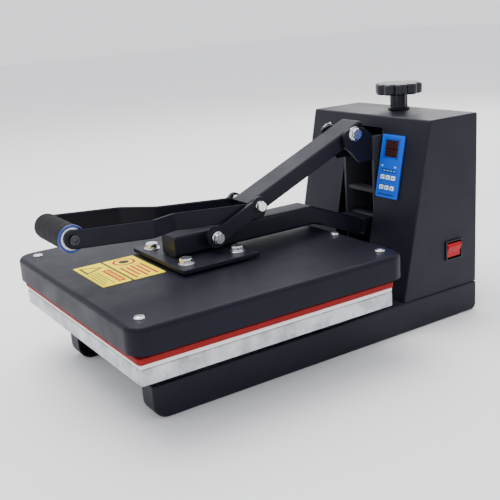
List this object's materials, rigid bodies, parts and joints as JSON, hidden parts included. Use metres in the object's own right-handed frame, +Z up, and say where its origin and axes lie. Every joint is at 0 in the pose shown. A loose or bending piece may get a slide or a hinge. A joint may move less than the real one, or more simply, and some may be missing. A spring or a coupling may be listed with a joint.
{
  "type": "heat press",
  "caption": "Clamshell heat press with a square heated platen on a hinged arm, a toggle lever with a foam grip, a pressure knob and a control tower.",
  "frame": {"origin": "centre of the bounding box in plan, on the surface that the feet stand on", "axes": "+Z up, +X to the operator's right, +Y from the operator's handle towards the tower; the platen is closed at rest"},
  "size_m": [0.398, 0.6284, 0.3474],
  "materials": {
    "powder_black": "satin black powder coat",
    "inner_steel": "dark structural steel",
    "galvanised": "mottled galvanised sheet",
    "zinc": "bright zinc plated",
    "aluminium": "milled",
    "felt": "pressed white felt",
    "silicone": "matte red silicone foam",
    "label_yellow": "printed vinyl sticker",
    "panel_blue": "printed membrane panel",
    "key_pale": "moulded",
    "display_dark": "dark red window",
    "rocker_red": "translucent red",
    "plastic_black": "moulded",
    "foam_black": "closed cell foam",
    "ring_blue": "moulded",
    "board_beige": "pressed insulation board"
  },
  "bodies": {
    "frame": {"left_foot": "powder_black", "right_foot": "powder_black", "front_cross_beam": "powder_black", "rear_cross_beam": "powder_black", "base_plate": "galvanised", "felt_pad": "felt", "silicone_pad": "silicone", "tower_front_panel": "powder_black", "tower_left_panel": "powder_black", "tower_right_panel": "powder_black", "tower_top_panel": "powder_black", "tower_back_panel": "powder_black", "tower_floor": "inner_steel", "left_frame_plate": "inner_steel", "right_frame_plate": "inner_steel", "frame_top_plate": "inner_steel", "frame_tie_bar": "inner_steel", "hinge_shaft": "zinc", "control_panel": "panel_blue", "display_window": "display_dark", "controller_box": "plastic_black", "switch_housing": "plastic_black", "power_inlet": "plastic_black"},
    "platen": {"heating_plate": "aluminium", "insulation_board": "board_beige", "platen_cover": "powder_black", "mounting_plate": "powder_black", "level_bolt_1": "zinc", "level_bolt_2": "zinc", "level_bolt_3": "zinc", "level_bolt_4": "zinc", "platen_arm": "powder_black", "arm_end_cap": "plastic_black", "arm_yoke": "powder_black", "link_pivot_pin": "zinc", "front_label": "label_yellow", "rear_label": "label_yellow"},
    "carriage": {"pressure_carriage": "powder_black", "lever_pivot_bolt": "zinc"},
    "knob": {"pressure_screw": "zinc", "pressure_knob": "plastic_black"},
    "lever": {"lever_channel": "powder_black", "left_handle_bar": "powder_black", "right_handle_bar": "powder_black", "knee_tube": "zinc", "grip_rod": "zinc", "foam_grip": "foam_black", "left_grip_ring": "plastic_black", "right_grip_ring": "ring_blue"},
    "links": {"left_link": "powder_black", "right_link": "powder_black", "left_knee_bolt": "zinc", "right_knee_bolt": "zinc"},
    "rocker": {"power_rocker": "rocker_red"},
    "key_1": {"key_1": "key_pale"},
    "key_2": {"key_2": "key_pale"},
    "key_3": {"key_3": "key_pale"},
    "key_4": {"key_4": "key_pale"},
    "key_5": {"key_5": "key_pale"},
    "key_6": {"key_6": "key_pale"}
  },
  "joints": [
    {"name": "platen_hinge", "type": "hinge", "parent": "frame", "child": "platen", "pos_m": [0, 0.20925, 0.14], "axis": [-1, 0, 0], "range_deg": [0, 40]},
    {"name": "knob_turn", "type": "hinge", "parent": "frame", "child": "knob", "pos_m": [0, 0.27925, 0.3385], "axis": [0, 0, 1], "range_deg": [0, 1441]},
    {"name": "carriage_slide", "type": "slide", "parent": "frame", "child": "carriage", "axis": [0, 0, 1], "range_m": [0, 0.008]},
    {"name": "lever_pivot", "type": "hinge", "parent": "carriage", "child": "lever", "pos_m": [0, 0.16125, 0.2855], "axis": [-1, 0, 0], "range_deg": [0, 73.1]},
    {"name": "link_pivot", "type": "hinge", "parent": "platen", "child": "links", "pos_m": [0, -0.08925, 0.179], "axis": [1, 0, 0], "range_deg": [0, 83.8]},
    {"name": "rocker_tilt", "type": "hinge", "parent": "frame", "child": "rocker", "pos_m": [0.1287, 0.26075, 0.1065], "axis": [0, -1, 0], "range_deg": [0, 16]},
    {"name": "key_1_press", "type": "slide", "parent": "frame", "child": "key_1", "axis": [0, 0.9787, -0.2052], "range_m": [0, 0.0008], "stiffness_N_per_m": 300, "springref_m": -0.001},
    {"name": "key_2_press", "type": "slide", "parent": "frame", "child": "key_2", "axis": [0, 0.9787, -0.2052], "range_m": [0, 0.0008], "stiffness_N_per_m": 300, "springref_m": -0.001},
    {"name": "key_3_press", "type": "slide", "parent": "frame", "child": "key_3", "axis": [0, 0.9787, -0.2052], "range_m": [0, 0.0008], "stiffness_N_per_m": 300, "springref_m": -0.001},
    {"name": "key_4_press", "type": "slide", "parent": "frame", "child": "key_4", "axis": [0, 0.9787, -0.2052], "range_m": [0, 0.0008], "stiffness_N_per_m": 300, "springref_m": -0.001},
    {"name": "key_5_press", "type": "slide", "parent": "frame", "child": "key_5", "axis": [0, 0.9787, -0.2052], "range_m": [0, 0.0008], "stiffness_N_per_m": 300, "springref_m": -0.001},
    {"name": "key_6_press", "type": "slide", "parent": "frame", "child": "key_6", "axis": [0, 0.9787, -0.2052], "range_m": [0, 0.0008], "stiffness_N_per_m": 300, "springref_m": -0.001}
  ],
  "couplings": [
    {"joint": "lever_pivot", "follows": "platen_hinge", "ratio": 1.8254},
    {"joint": "link_pivot", "follows": "platen_hinge", "ratio": 2.0918},
    {"joint": "knob_turn", "follows": "carriage_slide", "rad_per_m": 3141.6}
  ]
}
